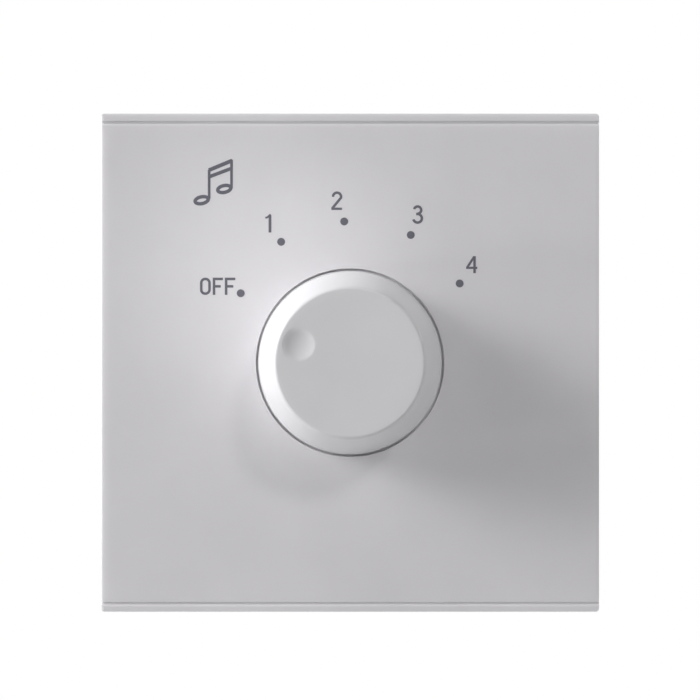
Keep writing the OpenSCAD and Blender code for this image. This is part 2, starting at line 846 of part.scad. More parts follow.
// Moving contact under the rotor
module wiper_contact() {
    color(bronze) upright() rotate(first_contact) difference() {
        union() {
            disc(common_out_r, wiper_back_z, rotor_back_z);
            translate([0, -wiper_arm_w / 2, wiper_back_z]) cube([contact_at, wiper_arm_w, wiper_t]);
            translate([contact_at, 0, 0]) disc(wiper_arm_w / 2, wiper_back_z, rotor_back_z);
            for (x = [contact_at, -(common_in_r + common_out_r) / 2])
                translate([x, 0, 0]) disc(wiper_dome_r, wiper_back_z - wiper_dome, rotor_back_z);
        }
        rotate(dimple_angle - 90 - first_contact)
            slab(square_w + close_gap, square_w + close_gap, wiper_back_z - cut, rotor_back_z + cut);
    }
}

// Direction of each fixed contact, clockwise from OFF
function contact_angle(i) = first_contact - i * step_angle;

// Insulating disc that closes the switch
module contact_wafer() {
    color(bronze) upright() difference() {
        disc(wafer_r, wafer_back_z, wafer_z);
        disc(journal_r + run_gap, wafer_back_z - cut, wafer_z + cut);
        for (i = [0 : positions - 1]) rotate(contact_angle(i)) translate([contact_at, 0, 0])
            disc(contact_pin_r + pin_hole_gap, wafer_back_z - cut, wafer_z + cut);
        rotate(common_pin_angle) translate([(common_in_r + common_out_r) / 2, 0, 0])
            disc(contact_pin_r + pin_hole_gap, wafer_back_z - cut, wafer_z + cut);
    }
}

// Stud with a head on the wafer and a pin through the board
module contact_stud(head_r) {
    disc(head_r, wafer_z, contact_z);
    disc(contact_pin_r, board_back_z - pin_out, wafer_z);
}

// Position studs and the common ring
module fixed_contacts() {
    color(brass) upright() {
        for (i = [0 : positions - 1]) rotate(contact_angle(i))
            translate([contact_at, 0, 0]) contact_stud(contact_head_r);
        ring(common_out_r, common_in_r, wafer_z, contact_z);
        rotate(common_pin_angle) translate([(common_in_r + common_out_r) / 2, 0, 0])
            contact_stud(contact_pin_r);
    }
}

// Places children at the bobbin's pins, on both feet
module at_bobbin_pins() {
    for (m = [-1, 1], i = [0 : bobbin_pin_count - 1])
        translate([
            (i - (bobbin_pin_count - 1) / 2) * bobbin_pin_pitch,
            transformer_y + m * (bobbin_l / 2 + foot_t / 2), 0
        ]) children();
}

// Places children at the tabs of the core straps
module at_strap_tabs() {
    for (sx = [-1, 1], sy = [-1, 1])
        translate([sx * (core_w + strap_t) / 2, transformer_y + sy * (core_l - yoke_w) / 2, 0]) children();
}

// Places children at the wire terminals
module at_poles() {
    for (i = [0 : poles - 1]) translate([(i - (poles - 1) / 2) * pole_pitch, clamp_y, 0]) children();
}

// Circuit board
module circuit_board() {
    color(board_green) upright() difference() {
        slab(board_w, board_h, board_back_z, board_z);
        corners(post_x, post_y) disc(post_r + fit_gap, board_back_z - cut, board_z + cut);
        corners(board_w / 2, board_h / 2)
            slab(board_w - 2 * post_x, board_h - 2 * post_y, board_back_z - cut, board_z + cut);
        for (i = [0 : positions - 1]) rotate(contact_angle(i)) translate([contact_at, 0, 0])
            disc(contact_pin_r + pin_hole_gap, board_back_z - cut, board_z + cut);
        rotate(common_pin_angle) translate([(common_in_r + common_out_r) / 2, 0, 0])
            disc(contact_pin_r + pin_hole_gap, board_back_z - cut, board_z + cut);
        at_bobbin_pins() disc(bobbin_pin_r + pin_hole_gap, board_back_z - cut, board_z + cut);
        at_strap_tabs()
            slab(strap_t + 2 * close_gap, strap_tab_w + 2 * close_gap, board_back_z - cut, board_z + cut);
        at_poles() disc(terminal_pin_r + pin_hole_gap, board_back_z - cut, board_z + cut);
    }
}

// Places children at the middle of the transformer
module at_transformer() {
    translate([0, transformer_y, transformer_z]) children();
}

// Laminated core, the E stack and the I stack
module transformer_core() {
    i_y = core_l / 2 - yoke_w;
    color(steel) upright() at_transformer() {
        difference() {
            slab(core_w, core_l, -core_stack / 2, core_stack / 2);
            for (s = [-1, 1]) translate([s * (leg_w + window_w) / 2, 0, 0])
                slab(window_w, window_l, -core_stack / 2 - cut, core_stack / 2 + cut);
            translate([0, i_y, 0])
                slab(core_w + cut, 2 * core_gap, -core_stack / 2 - cut, core_stack / 2 + cut);
        }
    }
}

// Bobbin with its two flanges and feet
module transformer_bobbin() {
    color(grey_plastic) upright() at_transformer() difference() {
        union() {
            rotate([90, 0, 0]) linear_extrude(bobbin_l, center = true)
                square([bobbin_w, bobbin_t], center = true);
            for (s = [-1, 1]) translate([0, s * (bobbin_l - bobbin_wall) / 2, 0])
                slab(bobbin_flange_w, bobbin_wall, -bobbin_flange_h / 2, bobbin_flange_h / 2);
            for (s = [-1, 1]) translate([0, s * (bobbin_l + foot_t - bobbin_wall) / 2, 0])
                slab(bobbin_flange_w, foot_t + bobbin_wall, foot_z - foot_h, foot_z);
        }
        slab(leg_w + 2 * close_gap, core_l, -core_stack / 2 - close_gap, core_stack / 2 + close_gap);
        translate([0, -transformer_y, 0]) at_bobbin_pins()
            disc(bobbin_pin_r + run_gap, foot_z - foot_h / 2, foot_z + cut);
    }
}

// Copper winding on the bobbin
module transformer_winding() {
    color(copper) upright() at_transformer() rotate([90, 0, 0])
        linear_extrude(bobbin_l - 2 * (bobbin_wall + winding_gap), center = true) difference() {
            rounded_rect(winding_w, winding_h, winding_corner_r);
            square([bobbin_w + 2 * run_gap, bobbin_t + 2 * run_gap], center = true);
        }
}

// Steel straps over the two yokes, with tabs through the board
module core_straps() {
    tab_end = board_z + pin_out;
    color(steel) upright() for (s = [-1, 1]) translate([0, transformer_y + s * (core_l - yoke_w) / 2, 0]) {
        translate([0, 0, transformer_z - core_stack / 2 - strap_t])
            slab(core_w + 2 * strap_t, strap_w, 0, strap_t);
        for (sx = [-1, 1]) translate([sx * (core_w + strap_t) / 2, 0, 0]) {
            slab(strap_t, strap_w, transformer_z - core_stack / 2 - strap_t, board_back_z);
            slab(strap_t, strap_tab_w, board_back_z - strap_t, tab_end);
        }
    }
}

// Pins of the bobbin, soldered in the board
module bobbin_pins() {
    color(steel) upright() at_bobbin_pins()
        slab(bobbin_pin_w, bobbin_pin_w, board_back_z - foot_h / 2, board_z + pin_out);
}

// Terminal block with a wire entry below and a screw well behind for each wire
module terminal_block() {
    color(black_plastic) upright() difference() {
        translate([0, block_y0 + block_d / 2, 0]) slab(block_w, block_d, block_back_z, board_back_z);
        at_poles() {
            slab(clamp_w + 2 * close_gap, clamp_l + 2 * close_gap,
                clamp_z - clamp_h / 2 - close_gap, board_back_z + cut);
            translate([-entry_w / 2, block_y0 - clamp_y - cut, clamp_z - entry_h / 2])
                cube([entry_w, clamp_y - block_y0 + cut, entry_h]);
            translate([-entry_w / 2 - lead_in, block_y0 - clamp_y - cut, clamp_z - entry_h / 2 - lead_in])
                cube([entry_w + 2 * lead_in, cut + lead_in, entry_h + 2 * lead_in]);
            disc(well_r, block_back_z - cut, clamp_z);
        }
        for (i = [1 : poles - 1]) translate([(i - poles / 2) * pole_pitch, block_y0, 0])
            slab(block_groove_w, 2 * block_groove_d, block_back_z - cut, board_back_z + cut);
        for (i = [1 : poles - 1]) translate([(i - poles / 2) * pole_pitch, block_y0 + block_d / 2, 0])
            slab(block_groove_w, block_d + cut, block_back_z - cut, block_back_z + block_groove_d);
    }
}

// Brass clamps that hold the wires, each with its board pin
module terminal_clamps() {
    color(brass) upright() at_poles() difference() {
        union() {
            slab(clamp_w, clamp_l, clamp_z - clamp_h / 2, clamp_z + clamp_h / 2);
            slab(terminal_pin_w, terminal_pin_w, clamp_z, board_z + pin_out);
        }
        slab(clamp_hole_w, clamp_l + cut, clamp_z - clamp_hole_h / 2, clamp_z + clamp_hole_h / 2);
        disc(terminal_shank_r + run_gap, clamp_z - clamp_h / 2 - cut, clamp_z);
    }
}

// Slotted screws in the wells
module terminal_screws() {
    color(steel) upright() at_poles() difference() {
        union() {
            disc(terminal_head_r, terminal_head_z - terminal_head_t, terminal_head_z);
            disc(terminal_shank_r, terminal_head_z - cut, clamp_z - clamp_hole_h / 2);
        }
        slab(2 * well_r, screw_slot_w, terminal_head_z - terminal_head_t - cut,
            terminal_head_z - terminal_head_t + screw_slot_d);
    }
}

// Outside of the rear housing, rounded at its corners and back edges
module housing_block() {
    depth = web_z - housing_back_z;
    intersection() {
        rounded_slab(housing_w, housing_h, housing_corner_r, housing_back_z, web_z);
        translate([0, 0, web_z]) mirror([0, 0, 1]) {
            side_rounding(housing_w, housing_h, 0, depth, housing_edge_r);
        }
        translate([0, 0, web_z]) mirror([0, 0, 1]) {
            lip_rounding(housing_w, housing_h, 0, depth, housing_edge_r);
        }
    }
}

// Rear housing: box with posts, board ledges, vents and an opening for the terminal block
module rear_housing() {
    inner_w = housing_w - 2 * housing_wall;
    inner_h = housing_h - 2 * housing_wall;
    color(grey_plastic) upright() difference() {
        union() {
            difference() {
                housing_block();
                slab(inner_w, inner_h, housing_inner_z, web_z + cut);
            }
            intersection() {
                rounded_slab(housing_w, housing_h, housing_corner_r, housing_back_z, web_z);
                union() {
                    corners(post_x, post_y) disc(post_r, web_z - post_len, web_z);
                    corners(housing_w / 2, housing_h / 2)
                        slab(housing_w - 2 * post_x, housing_h - 2 * post_y, web_z - post_len, web_z);
                }
            }
            for (s = [-1, 1]) translate([s * (inner_w - ledge_w + housing_wall) / 2, 0, 0])
                slab(ledge_w + housing_wall, ledge_len, housing_inner_z - close_gap, board_back_z);
        }
        corners(post_x, post_y) disc(screw_r + pilot_gap, web_z - post_len - cut, web_z + cut);
        for (i = [0 : vent_count - 1])
            translate([(i - (vent_count - 1) / 2) * vent_pitch, transformer_y, 0])
                rounded_slab(vent_w, vent_len, vent_w / 2 - close_gap,
                    housing_back_z - cut, housing_inner_z + cut);
        for (i = [0 : side_vent_count - 1])
            translate([(i - (side_vent_count - 1) / 2) * vent_pitch, inner_h / 2, transformer_z])
                slab(vent_w, 2 * (housing_wall + cut), -side_vent_h / 2, side_vent_h / 2);
        translate([0, block_y0 + block_d / 2 - cut, 0])
            slab(block_w + 2 * fit_gap, block_d + 2 * (fit_gap + cut),
                housing_back_z - cut, board_back_z + fit_gap);
    }
}

// Screws that hold the housing to the frame
module housing_screws() {
    color(steel) upright() corners(post_x, post_y) difference() {
        union() {
            disc(screw_head_r, frame_t, frame_t + screw_head_t);
            disc(screw_r, frame_t - screw_len, frame_t + close_gap);
        }
        for (a = [0, 90]) rotate(a)
            slab(screw_cross_l, screw_slot_w,
                frame_t + screw_head_t - screw_slot_d, frame_t + screw_head_t + cut);
    }
}

front_cover();
mounting_frame();
knob();
knob_spring();
switch_shaft();
shaft_clip();
switch_bush();
bush_nut();
lock_washer();
stop_washer();
switch_body();
detent_rotor();
detent_balls();
detent_springs();
wiper_contact();
contact_wafer();
fixed_contacts();
circuit_board();
transformer_core();
transformer_bobbin();
transformer_winding();
core_straps();
bobbin_pins();
terminal_block();
terminal_clamps();
terminal_screws();
rear_housing();
housing_screws();
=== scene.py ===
import math

import bpy
from mathutils import Matrix, Vector


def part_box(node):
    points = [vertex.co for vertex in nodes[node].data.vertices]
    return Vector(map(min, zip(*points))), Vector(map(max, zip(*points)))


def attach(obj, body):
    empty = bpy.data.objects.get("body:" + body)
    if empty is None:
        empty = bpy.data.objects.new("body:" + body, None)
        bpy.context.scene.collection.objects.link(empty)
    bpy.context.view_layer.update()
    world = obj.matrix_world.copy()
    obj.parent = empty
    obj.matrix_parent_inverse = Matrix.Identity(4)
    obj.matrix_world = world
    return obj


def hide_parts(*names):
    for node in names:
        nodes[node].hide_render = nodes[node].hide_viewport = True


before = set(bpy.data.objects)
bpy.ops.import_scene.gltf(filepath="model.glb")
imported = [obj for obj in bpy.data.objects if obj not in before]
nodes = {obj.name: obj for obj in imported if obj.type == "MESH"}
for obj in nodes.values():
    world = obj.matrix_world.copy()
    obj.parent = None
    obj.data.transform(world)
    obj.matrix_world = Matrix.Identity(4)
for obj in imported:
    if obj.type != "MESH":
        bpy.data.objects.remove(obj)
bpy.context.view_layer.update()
mm = 0.001
weldReach = 0.0005 * mm  # vertices closer than this become one
margin = 1  # how far a cutter reaches past what it cuts, in millimetres
print("frame loaded:", len(nodes), "nodes")


# working in the viewport

def selectNone():
    if bpy.context.object and bpy.context.object.mode != "OBJECT":
        bpy.ops.object.mode_set(mode="OBJECT")
    bpy.ops.object.select_all(action="DESELECT")


def selectOnly(*pieces):
    selectNone()
    for piece in pieces:
        piece.select_set(True)
    bpy.context.view_layer.objects.active = pieces[0]


def applyPlace(piece):
    selectOnly(piece)
    bpy.ops.object.transform_apply(location=True, rotation=True, scale=True)


def editAll():
    bpy.ops.object.mode_set(mode="EDIT")
    bpy.ops.mesh.select_all(action="SELECT")


def applyModifier(piece, kind, **settings):
    selectOnly(piece)
    bpy.ops.object.modifier_add(type=kind)
    modifier = piece.modifiers[-1]
    for name, value in settings.items():
        setattr(modifier, name, value)
    bpy.ops.object.modifier_apply(modifier=modifier.name)


def joinPieces(name, pieces):
    selectOnly(*pieces)
    if len(pieces) > 1:
        bpy.ops.object.join()
    joined = bpy.context.object
    joined.name = name
    joined.data.name = name
    return joined


def paint(piece, finish):
    piece.data.materials.clear()
    piece.data.materials.append(finish)


def combine(piece, other, operation):
    applyModifier(piece, "BOOLEAN", object=other, operation=operation, solver="EXACT")
    bpy.data.objects.remove(other)
    return piece


def smoothFaces(piece, angle=32):
    selectOnly(piece)
    bpy.ops.object.shade_smooth_by_angle(angle=math.radians(angle))
    applyModifier(piece, "WEIGHTED_NORMAL", keep_sharp=True)


def copyNode(nodeName, name):
    piece = bpy.data.objects.new(name, nodes[nodeName].data.copy())
    bpy.context.scene.collection.objects.link(piece)
    selectOnly(piece)
    bpy.ops.mesh.customdata_custom_splitnormals_clear()
    editAll()
    bpy.ops.mesh.remove_doubles(threshold=weldReach)
    bpy.ops.object.mode_set(mode="OBJECT")
    return piece


def block(low, high):
    low, high = Vector(low), Vector(high)
    selectNone()
    bpy.ops.mesh.primitive_cube_add(size=1, location=(low + high) / 2 * mm, scale=(high - low) * mm)
    piece = bpy.context.object
    applyPlace(piece)
    return piece


def extrudeBy(way):
    bpy.ops.mesh.extrude_region_move(TRANSFORM_OT_translate={"value": way})


# a single vertex, left in edit mode
def startPoint(place):
    selectNone()
    bpy.ops.mesh.primitive_plane_add(size=mm)
    piece = bpy.context.object
    editAll()
    bpy.ops.mesh.merge(type="CENTER")
    bpy.ops.transform.translate(value=place)
    return piece


# a line of edges through points in millimetres, left in edit mode
def drawLine(points):
    here = Vector(points[0]) * mm
    piece = startPoint(here)
    for point in points[1:]:
        there = Vector(point) * mm
        extrudeBy(there - here)
        here = there
    bpy.ops.mesh.select_all(action="SELECT")
    return piece


# a half section, as (radius, depth) points, turned round the knob's axis or one beside it
def turnProfile(points, steps, middle=(0, 0)):
    piece = drawLine([(*point, 0) for point in points])
    bpy.ops.mesh.spin(steps=steps, angle=2 * math.pi, use_auto_merge=True, center=(0, 0, 0), axis=(0, 1, 0))
    bpy.ops.mesh.select_all(action="SELECT")
    bpy.ops.mesh.remove_doubles(threshold=weldReach)
    bpy.ops.mesh.normals_make_consistent(inside=False)
    bpy.ops.transform.translate(value=(middle[0] * mm, 0, middle[1] * mm))
    bpy.ops.object.mode_set(mode="OBJECT")
    return piece


# a rectangle that faces the viewer, left in edit mode
def frontPlane(low, high):
    low, high = Vector(low), Vector(high)
    width, height = high.x - low.x, high.z - low.z
    selectNone()
    bpy.ops.mesh.primitive_plane_add(size=1, rotation=(math.radians(90), 0, 0))
    piece = bpy.context.object
    applyPlace(piece)
    editAll()
    bpy.ops.transform.resize(value=(width * mm, 1, height * mm))
    bpy.ops.transform.translate(value=((low.x + high.x) / 2 * mm, high.y * mm, (low.z + high.z) / 2 * mm))
    return piece


# a block whose front rolls off softly towards its four edges,
# with cuts near the corners that keep the roll-off straight
def softSlab(low, high, rollOff):
    width, drop = (sum(step[i] for step in rollOff) for i in (0, 1))
    piece = frontPlane(low, high)
    extrudeBy((0, (low[1] + drop - high[1]) * mm, 0))
    for across, rise in rollOff:
        bpy.ops.mesh.inset(thickness=across * mm, depth=rise * mm)
    for axis in (0, 2):
        for edge in (low[axis] + width, high[axis] - width):
            place, way = Vector(), Vector()
            place[axis], way[axis] = edge * mm, 1
            bpy.ops.mesh.select_all(action="SELECT")
            bpy.ops.mesh.bisect(plane_co=place, plane_no=way)
    bpy.ops.object.mode_set(mode="OBJECT")
    return piece


# an upright rectangle with round corners, from front to back
def roundedBlock(low, high, corner, steps=6):
    piece = frontPlane(low, high)
    bpy.ops.mesh.bevel(offset=corner * mm, segments=steps, affect="VERTICES")
    bpy.ops.mesh.select_all(action="SELECT")
    extrudeBy((0, (low[1] - high[1]) * mm, 0))
    bpy.ops.object.mode_set(mode="OBJECT")
    return piece


# finishes

def newFinish(name, colour, roughness, metallic=0.0):
    finish = bpy.data.materials.new(name)
    finish.use_nodes = True
    tree = finish.node_tree
    shader = tree.nodes["Principled BSDF"]
    shader.inputs["Base Color"].default_value = (*colour, 1)
    shader.inputs["Roughness"].default_value = roughness
    shader.inputs["Metallic"].default_value = metallic
    place = tree.nodes.new("ShaderNodeTexCoord").outputs["Object"]
    return finish, tree, shader, place


def noiseOf(tree, place, scale, detail=2.0, stretch=(1, 1, 1)):
    mapping = tree.nodes.new("ShaderNodeMapping")
    mapping.inputs["Scale"].default_value = stretch
    tree.links.new(place, mapping.inputs["Vector"])
    noise = tree.nodes.new("ShaderNodeTexNoise")
    noise.inputs["Scale"].default_value = scale
    noise.inputs["Detail"].default_value = detail
    tree.links.new(mapping.outputs["Vector"], noise.inputs["Vector"])
    return noise.outputs["Fac"]


def spread(tree, value, low, high, fromLow=0.3, fromHigh=0.7):
    node = tree.nodes.new("ShaderNodeMapRange")
    node.inputs["From Min"].default_value = fromLow
    node.inputs["From Max"].default_value = fromHigh
    node.inputs["To Min"].default_value = low
    node.inputs["To Max"].default_value = high
    tree.links.new(value, node.inputs["Value"])
    return node.outputs["Result"]


def blendColours(tree, share, first, second):
    node = tree.nodes.new("ShaderNodeMix")
    node.data_type = "RGBA"
    tree.links.new(share, node.inputs["Factor"])
    for socket, colour in ((node.inputs["A"], first), (node.inputs["B"], second)):
        if isinstance(colour, bpy.types.NodeSocket):
            tree.links.new(colour, socket)
        else:
            socket.default_value = (*colour, 1)
    return node.outputs["Result"]


def addBump(tree, shader, height, depth, strength=1.0):
    node = tree.nodes.new("ShaderNodeBump")
    node.inputs["Strength"].default_value = strength
    node.inputs["Distance"].default_value = depth
    tree.links.new(height, node.inputs["Height"])
    tree.links.new(node.outputs["Normal"], shader.inputs["Normal"])


# grain depths are in millimetres here and in the metals
def mouldedPlastic(name, colour, roughness, grainScale, grainDepth, drift=0.02):
    cloudScale, wearScale, wear = 70, 260, 0.04
    finish, tree, shader, place = newFinish(name, colour, roughness)
    cloud = spread(tree, noiseOf(tree, place, cloudScale, 3), 0, 1)
    dark = [c * (1 - drift) for c in colour]
    light = [min(1, c * (1 + drift)) for c in colour]
    tree.links.new(blendColours(tree, cloud, dark, light), shader.inputs["Base Color"])
    worn = spread(tree, noiseOf(tree, place, wearScale, 4), roughness - wear, roughness + wear)
    tree.links.new(worn, shader.inputs["Roughness"])
    addBump(tree, shader, noiseOf(tree, place, grainScale, 2), grainDepth * mm)
    return finish


plastics = {
    "satinShell": {"colour": (0.798, 0.784, 0.807), "roughness": 0.42,
                   "grainScale": 4200, "grainDepth": 0.0007},
    "satinKnob": {"colour": (0.815, 0.811, 0.831), "roughness": 0.36,
                  "grainScale": 5200, "grainDepth": 0.0005},
    "grainedHousing": {"colour": (0.45, 0.46, 0.48), "roughness": 0.5,
                       "grainScale": 2400, "grainDepth": 0.006, "drift": 0.04},
    "blackMoulding": {"colour": (0.045, 0.045, 0.05), "roughness": 0.45,
                      "grainScale": 2600, "grainDepth": 0.004, "drift": 0.08},
    "terminalMoulding": {"colour": (0.07, 0.075, 0.08), "roughness": 0.4,
                         "grainScale": 3000, "grainDepth": 0.003, "drift": 0.06},
    "bobbinNylon": {"colour": (0.78, 0.75, 0.66), "roughness": 0.48,
                    "grainScale": 2800, "grainDepth": 0.003, "drift": 0.03},
    "rotorAcetal": {"colour": (0.45, 0.46, 0.48), "roughness": 0.38,
                    "grainScale": 3200, "grainDepth": 0.002, "drift": 0.03},
}
finishes = {name: mouldedPlastic(name, **plastic) for name, plastic in plastics.items()}
print("plastics ready")


# one band a pitch, in metres
def waveOf(tree, place, pitch, axis):
    bandScale = 0.314
    wave = tree.nodes.new("ShaderNodeTexWave")
    wave.bands_direction = axis
    wave.inputs["Scale"].default_value = bandScale / pitch
    tree.links.new(place, wave.inputs["Vector"])
    return wave.outputs["Fac"]


def rolledMetal(name, colour, roughness, streakScale, grainDepth=0, stretch=(1, 1, 1), threadPitch=0):
    shadeShare, smoother, rougher, threadDepth = 0.84, 0.06, 0.1, 0.18
    finish, tree, shader, place = newFinish(name, colour, roughness, 1.0)
    streaks = noiseOf(tree, place, streakScale, 3, stretch)
    shade = [c * shadeShare for c in colour]
    tones = blendColours(tree, spread(tree, streaks, 0, 1), shade, colour)
    tree.links.new(tones, shader.inputs["Base Color"])
    worn = spread(tree, streaks, roughness - smoother, roughness + rougher)
    tree.links.new(worn, shader.inputs["Roughness"])
    if threadPitch:
        addBump(tree, shader, waveOf(tree, place, threadPitch * mm, "Y"), threadDepth * mm)
    else:
        addBump(tree, shader, streaks, grainDepth * mm)
    return finish


metals = {
    "zincPlate": {"colour": (0.72, 0.73, 0.75), "roughness": 0.34, "streakScale": 900, "grainDepth": 0.003},
    "turnedShaft": {"colour": (0.72, 0.73, 0.75), "roughness": 0.26, "streakScale": 700,
                    "grainDepth": 0.002, "stretch": (0.15, 4, 0.15)},
    "springBronze": {"colour": (0.74, 0.52, 0.3), "roughness": 0.3, "streakScale": 800,
                     "grainDepth": 0.002, "stretch": (4, 0.3, 1)},
    "stampedBrass": {"colour": (0.8, 0.64, 0.32), "roughness": 0.28, "streakScale": 900,
                     "grainDepth": 0.002, "stretch": (1, 1, 3)},
    "threadedBush": {"colour": (0.8, 0.64, 0.32), "roughness": 0.24, "streakScale": 900, "threadPitch": 0.75},
    "polishedBall": {"colour": (0.78, 0.79, 0.8), "roughness": 0.1, "streakScale": 1500,
                     "grainDepth": 0.0005},
}
finishes.update({name: rolledMetal(name, **metal) for name, metal in metals.items()})


def laminationSteel(name, colour):
    sheetPitch, sheetDepth, seamFrom, seamTo, seamShare = 0.5, 0.05, 0.05, 0.4, 0.45
    blotchScale, oxideShare = 380, (0.85, 0.68, 0.55)
    roughness, smooth, rough, metallic = 0.42, 0.36, 0.58, 0.9
    finish, tree, shader, place = newFinish(name, colour, roughness, metallic)
    sheets = waveOf(tree, place, sheetPitch * mm, "Y")
    blotch = spread(tree, noiseOf(tree, place, blotchScale, 4), 0, 1)
    oxide = [c * share for c, share in zip(colour, oxideShare)]
    seam = [c * seamShare for c in colour]
    sheetTone = blendColours(tree, spread(tree, sheets, 0, 1, seamFrom, seamTo), seam, colour)
    tree.links.new(blendColours(tree, blotch, sheetTone, oxide), shader.inputs["Base Color"])
    tree.links.new(spread(tree, blotch, smooth, rough, 0, 1), shader.inputs["Roughness"])
    addBump(tree, shader, sheets, sheetDepth * mm)
    return finish


def pressedFibre(name, colour):
    fibreScale, fibreStretch, fibreDepth = 900, (0.2, 1, 1.6), 0.01
    darkShare, lightShare, roughness, smooth, rough = 0.7, 1.2, 0.5, 0.42, 0.6
    finish, tree, shader, place = newFinish(name, colour, roughness)
    fibres = noiseOf(tree, place, fibreScale, 4, fibreStretch)
    dark, light = [c * darkShare for c in colour], [c * lightShare for c in colour]
    tree.links.new(blendColours(tree, spread(tree, fibres, 0, 1), dark, light), shader.inputs["Base Color"])
    tree.links.new(spread(tree, fibres, smooth, rough), shader.inputs["Roughness"])
    addBump(tree, shader, fibres, fibreDepth * mm)
    return finish


def maskedBoard(name, colour):
    weavePitch, weaveDepth, lightShare = 1.1, 0.012, 1.35
    roughness, smooth, rough, smearScale = 0.32, 0.26, 0.4, 500
    finish, tree, shader, place = newFinish(name, colour, roughness)
    weave = tree.nodes.new("ShaderNodeMath")
    weave.operation = "MULTIPLY"
    for socket, axis in zip(weave.inputs, "XZ"):
        tree.links.new(waveOf(tree, place, weavePitch * mm, axis), socket)
    light = [min(1, c * lightShare) for c in colour]
    tones = blendColours(tree, spread(tree, weave.outputs[0], 0, 1, 0, 1), colour, light)
    tree.links.new(tones, shader.inputs["Base Color"])
    smear = spread(tree, noiseOf(tree, place, smearScale, 3), smooth, rough)
    tree.links.new(smear, shader.inputs["Roughness"])
    addBump(tree, shader, weave.outputs[0], weaveDepth * mm)
    return finish


finishes["stackedSheets"] = laminationSteel("stackedSheets", (0.34, 0.35, 0.37))
finishes["waferFibre"] = pressedFibre("waferFibre", (0.42, 0.25, 0.12))
finishes["boardMask"] = maskedBoard("boardMask", (0.04, 0.22, 0.1))

nodesWith = {
    "grainedHousing": ["rear_housing"],
    "blackMoulding": ["switch_body"],
    "terminalMoulding": ["terminal_block"],
    "bobbinNylon": ["transformer_bobbin"],
    "rotorAcetal": ["detent_rotor"],
    "zincPlate": ["shaft_clip", "bush_nut", "lock_washer", "stop_washer", "detent_springs", "core_straps",
                  "bobbin_pins", "terminal_screws", "housing_screws"],
    "turnedShaft": ["switch_shaft"],
    "springBronze": ["knob_spring", "wiper_contact"],
    "stampedBrass": ["fixed_contacts", "terminal_clamps"],
    "threadedBush": ["switch_bush"],
    "polishedBall": ["detent_balls"],
    "stackedSheets": ["transformer_core"],
    "waferFibre": ["contact_wafer"],
    "boardMask": ["circuit_board"],
}
for finishName, nodeNames in nodesWith.items():
    for nodeName in nodeNames:
        paint(nodes[nodeName], finishes[finishName])
print("finishes on", sum(len(nodeNames) for nodeNames in nodesWith.values()), "solids")


# cover, frame and knob: their fronts are modelled here and joined to the rest of the solids

# each step goes in and rises, from the outline to the flat face; "spare" is what is made beyond the
# right and lower edges and cut off, so that those stay crisp
softEdge = [(0.03, 0.07), (0.06, 0.055), (0.08, 0.043), (0.1, 0.034), (0.13, 0.027),
            (0.18, 0.022), (0.25, 0.02), (0.32, 0.016), (0.4, 0.009), (0.4, 0)]
plateSet = {"width": 86, "height": 86, "coverHeight": 82.7, "face": -8.5, "joint": -7.3, "overlap": 0.12,
            "coverCorner": 0.3, "frameCorner": 0.6, "spare": 1.1, "cutRoom": 5}
lipSet = {"height": 1.3, "groove": 0.34, "grooveDepth": 0.17, "grooveSeat": 0.3, "cutClear": 0.02,
          "spare": 0.5, "edgeSteps": 6}
dishSet = {"radius": 16.25, "edge": 0.08, "edgeStart": 260, "mouth": 0.98, "floor": -7.7,
           "holeRadius": 8.93, "edgeSteps": 6, "turnSteps": 192}
knobSet = {"baseRadius": 15.84, "coneRadius": 15.65, "topRadius": 13.0, "bottom": -8.0, "coneStart": -8.8,
           "top": -20.5, "edge": 0.7, "edgeSteps": 10, "baseEdge": 0.08, "baseSteps": 3, "hollow": 0.1,
           "skin": 0.9, "core": 0.45, "coreLift": 0.05, "coreSteps": 96, "rings": 14, "turnSteps": 192}
dimpleSet = {"middle": (-8.55, 3.07), "radius": 10, "depth": 0.36, "lip": 3, "lift": 0.05, "mouth": 0.995,
             "rings": 16, "turnSteps": 144}


def arcPoints(middle, radius, start, stop, steps):
    turns = [math.radians(start + (stop - start) * i / steps) for i in range(steps + 1)]
    return [(middle[0] + radius * math.cos(t), middle[1] + radius * math.sin(t)) for t in turns]


# takes off all that lies in front of the joint, or only what is farther than a height above and below
def cutFront(piece, high=None):
    side, front = plateSet["width"], plateSet["face"] - plateSet["cutRoom"]
    for z0, z1 in ([(-side, side)] if high is None else [(high, side), (-side, -high)]):
        combine(piece, block((-side, front, z0), (side, plateSet["joint"], z1)), "DIFFERENCE")


def makeCover():
    halfW, halfH, face = plateSet["width"] / 2, plateSet["coverHeight"] / 2, plateSet["face"]
    back = plateSet["joint"] + plateSet["overlap"]
    spare = plateSet["spare"]
    slab = softSlab((-halfW, face, -halfH - spare), (halfW + spare, back, halfH), softEdge)
    low, high = (-halfW, face - margin, -halfH), (halfW, back + margin, halfH)
    combine(slab, roundedBlock(low, high, plateSet["coverCorner"]), "INTERSECT")
    rim, edge, hole = dishSet["radius"], dishSet["edge"], dishSet["holeRadius"]
    section = [(0, face - margin), (rim + dishSet["mouth"] * edge, face - margin)]
    section += arcPoints((rim + edge, face + edge), edge, dishSet["edgeStart"], 180, dishSet["edgeSteps"])
    section += [(rim, dishSet["floor"]), (hole, dishSet["floor"]), (hole, back + margin), (0, back + margin)]
    combine(slab, turnProfile(section, dishSet["turnSteps"]), "DIFFERENCE")
    cover = copyNode("front_cover", "clippedCover")
    cutFront(cover)
    return combine(cover, slab, "UNION")


